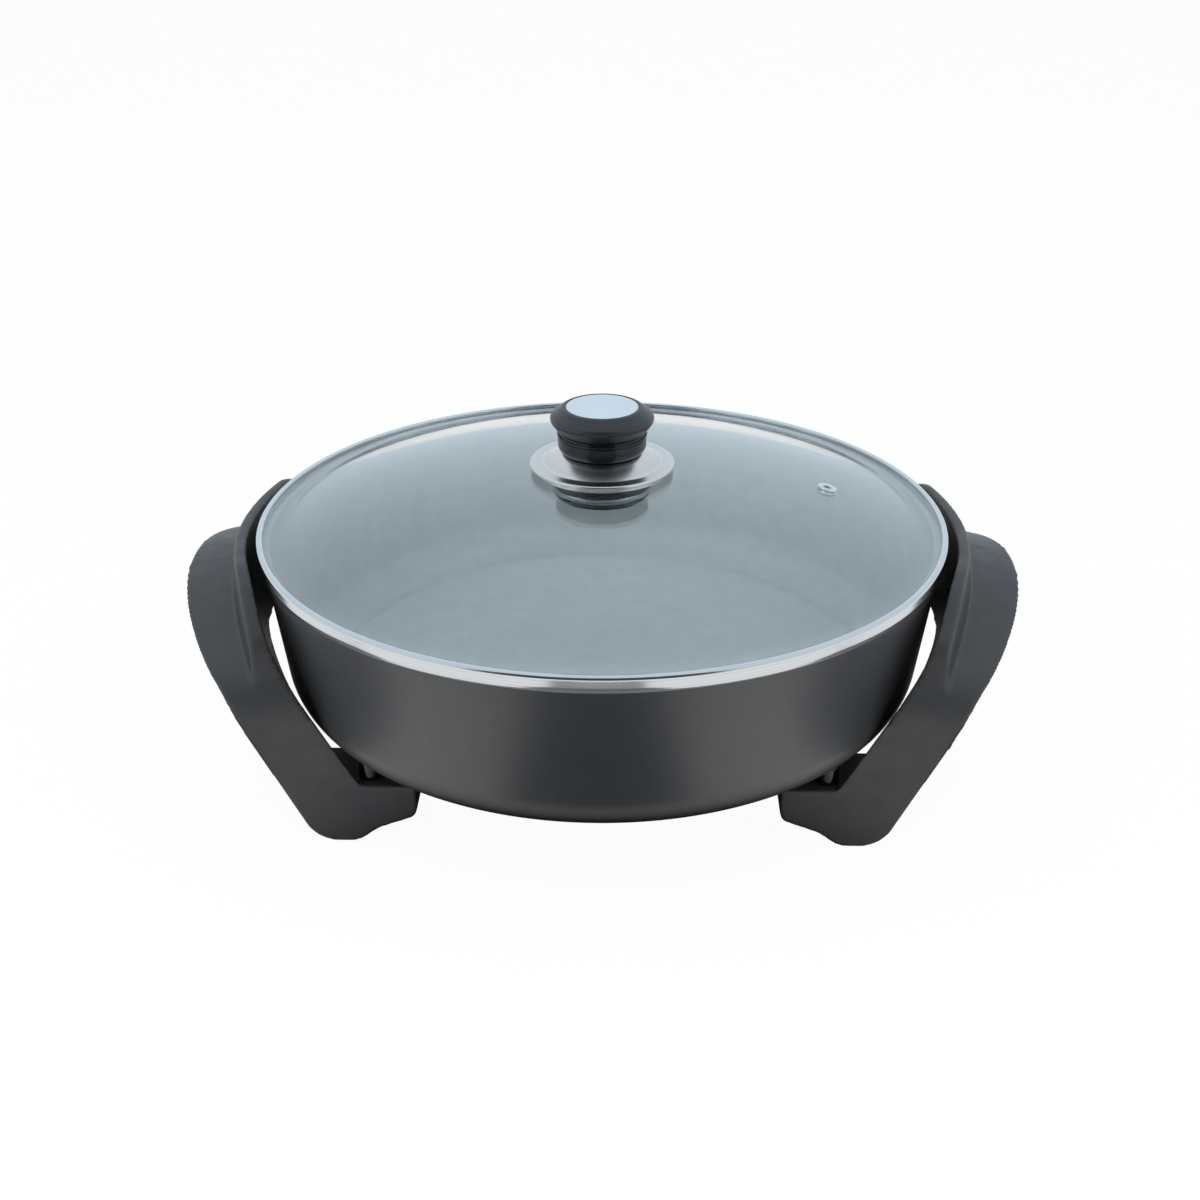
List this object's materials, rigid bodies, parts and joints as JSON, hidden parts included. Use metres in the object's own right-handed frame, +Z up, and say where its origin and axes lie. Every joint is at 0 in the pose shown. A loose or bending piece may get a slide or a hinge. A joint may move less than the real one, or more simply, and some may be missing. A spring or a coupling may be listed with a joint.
{
  "type": "electric skillet",
  "caption": "Round electric skillet with a domed glass lid that lifts off, arched side handles that form the feet, and a rear inlet for a plug-in thermostat.",
  "frame": {"origin": "on the table, under the middle of the pan", "axes": "+X to the right handle, +Y to the rear where the inlet is, +Z up"},
  "size_m": [0.438, 0.36, 0.2012],
  "materials": {
    "coated_cast_aluminium": "cast, with a dark non-stick coat inside and out",
    "cast_aluminium": "bare casting",
    "sheet_aluminium": "mill finish sheet",
    "element_steel": "dull sheath of a tubular element",
    "plated_steel": "zinc plated",
    "nickel_plate": "nickel plated",
    "steel": "polished stainless steel",
    "brushed_plate": "brushed stainless steel",
    "handle_plastic": "heat-resistant moulding, fine satin texture",
    "satin_black_plastic": "satin moulding",
    "gloss_black_plastic": "glossy moulding",
    "ceramic": null,
    "rubber": "soft rubber pads",
    "silicone": "pale silicone washers",
    "tempered_glass": "clear tempered glass"
  },
  "bodies": {
    "skillet": {"pan": "coated_cast_aluminium", "heating_plate": "cast_aluminium", "heating_element": "element_steel", "element_clamps": "plated_steel", "clamp_screws": "plated_steel", "base_plate": "sheet_aluminium", "base_plate_screws": "plated_steel", "socket_shroud": "handle_plastic", "socket_screws": "plated_steel", "terminal_pins": "nickel_plate", "pin_insulators": "ceramic", "probe_tube": "steel", "earth_contact": "nickel_plate", "right_handle": "handle_plastic", "left_handle": "handle_plastic", "leg_spacers": "gloss_black_plastic", "leg_washers": "plated_steel", "leg_screws": "plated_steel", "foot_pads": "rubber"},
    "lid": {"lid_glass": "tempered_glass", "lid_rim": "steel", "vent_eyelet": "steel", "knob_plate": "brushed_plate", "knob_stem": "gloss_black_plastic", "knob_cap": "satin_black_plastic", "knob_disc": "brushed_plate", "upper_seal": "silicone", "lower_seal": "silicone", "knob_seat": "gloss_black_plastic", "knob_seat_ring": "steel", "knob_screw": "plated_steel"}
  },
  "joints": [
    {"name": "lid_lift", "type": "slide", "parent": "skillet", "child": "lid", "axis": [0, 0, 1], "range_m": [0, 0.15]}
  ]
}
